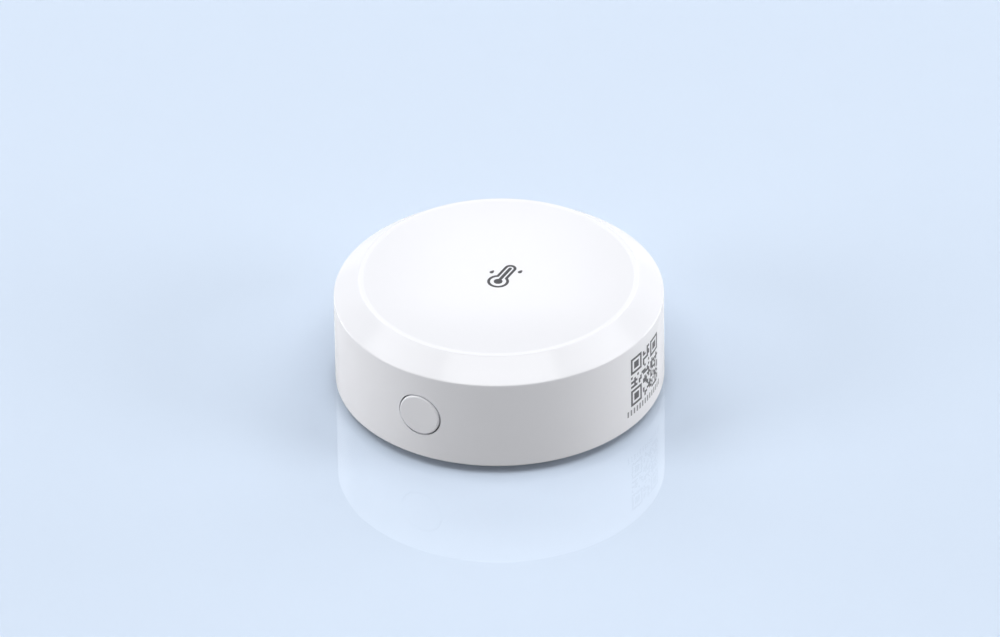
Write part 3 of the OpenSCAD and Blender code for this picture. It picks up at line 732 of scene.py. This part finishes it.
# A clear coat on it mirrors the sensor faintly.
clear_coat, tree = new_material("polished_clear_coat")
through = add_node(tree, "BsdfTransparent", {"Color": linear("#FFFFFF")})
polish = add_node(tree, "BsdfGlossy", {"Color": linear("#FFFFFF"), "Roughness": COAT_ROUGHNESS})
coat_mix = add_node(tree, "MixShader", {
    "Fac": COAT_SHARE, 1: through.outputs["BSDF"], 2: polish.outputs["BSDF"],
})
add_node(tree, "OutputMaterial", {"Surface": coat_mix.outputs["Shader"]})
coat = add_sheet("floor_coat", COAT_LIFT, clear_coat)
coat.visible_shadow = False
# No lamp shines on the coat, because its hard mirror image would cross the floor.
unlit = bpy.data.collections.new("unlit")
unlit.objects.link(coat)
unlit.collection_objects[0].light_linking.link_state = "EXCLUDE"

# Each lamp: its name, its turn from the camera and its rise in degrees, its width and height, and the
# level of light that it gives at the sensor.
LAMP_DISTANCE = 1.8
LAMPS = [
    ("front_box", 0, 70, 1.6, 0.5, 0.307),
    ("left_high_box", -95, 55, 1.0, 1.1, 0.238),
    ("right_high_box", 95, 55, 1.0, 1.1, 0.246),
    ("left_box", -75, 18, 0.8, 0.8, 0.352),
    ("right_box", 75, 18, 0.8, 0.8, 0.356),
    ("left_low_box", -120, 8, 0.8, 0.5, 0.2),
    ("right_low_box", 120, 8, 0.8, 0.5, 0.235),
    ("left_back_box", -150, 36, 0.9, 0.9, 0.16),
    ("right_back_box", 150, 36, 0.9, 0.9, 0.16),
    ("back_card", 180, 38, 0.24, 0.54, 0.0155),
]
for name, turn, rise, width, height, level in LAMPS:
    lamp = bpy.data.lights.new(name, "AREA")
    lamp.shape = "RECTANGLE"
    lamp.size = width
    lamp.size_y = height
    lamp.energy = level * (math.pi * LAMP_DISTANCE) ** 2
    lamp_object = bpy.data.objects.new(name, lamp)
    direction = away(CAMERA_TURN + math.radians(turn), math.radians(rise))
    lamp_object.location = LAMP_DISTANCE * direction
    lamp_object.rotation_mode = "QUATERNION"
    lamp_object.rotation_quaternion = direction.to_track_quat("Z", "Y")
    lamp_object.visible_camera = False
    lamp_object.light_linking.receiver_collection = unlit
    bpy.context.scene.collection.objects.link(lamp_object)

HORIZON_LEVEL = 0.5
HORIZON_LOW = math.sin(math.radians(12))
HORIZON_HIGH = math.sin(math.radians(20))
world = bpy.data.worlds.new("pale_horizon")
world.use_nodes = True
world.node_tree.nodes.clear()
tree = world.node_tree
direction = add_node(tree, "TexCoord", {}).outputs["Generated"]
rise = add_node(tree, "SeparateXYZ", {"Vector": direction}).outputs["Z"]
glow = add_node(tree, "MapRange", {
    "Value": rise, "From Min": HORIZON_LOW, "From Max": HORIZON_HIGH,
    "To Min": HORIZON_LEVEL, "To Max": 0.0,
})
glow = add_node(tree, "Math", {0: glow.outputs["Result"], 1: seen_rays(tree)}, operation="MULTIPLY")
room = add_node(tree, "Background", {"Color": linear("#F4F8FF"), "Strength": glow.outputs[0]})
add_node(tree, "OutputWorld", {"Surface": room.outputs["Background"]})
bpy.context.scene.world = world

# Camera
# The photograph's view: from 34 degrees above, a little to the button's right, with a long lens.
CAMERA_RISE = math.radians(34.376)
CAMERA_ROLL = math.radians(0.839)
CAMERA_DISTANCE = 1.596
FRAME_LIFT = 7.36 * MM
FAR_LIMIT = 20
LENS_MM = 420
SENSOR_MM = 36
camera = bpy.data.cameras.new("camera")
camera.lens = LENS_MM
camera.sensor_width = SENSOR_MM
camera.clip_end = FAR_LIMIT
camera_object = bpy.data.objects.new("camera", camera)
bpy.context.scene.collection.objects.link(camera_object)
back = away(CAMERA_TURN, CAMERA_RISE)
level_right = Vector((math.cos(CAMERA_TURN), math.sin(CAMERA_TURN), 0))
level_up = back.cross(level_right)
right = math.cos(CAMERA_ROLL) * level_right - math.sin(CAMERA_ROLL) * level_up
up = back.cross(right)
target = Vector((0, 0, shell_low.z)) + FRAME_LIFT * up
turn_matrix = Matrix((right, up, back)).transposed().to_4x4()
camera_object.matrix_world = Matrix.Translation(target + CAMERA_DISTANCE * back) @ turn_matrix
bpy.context.scene.camera = camera_object
bpy.context.scene.view_settings.view_transform = "Standard"
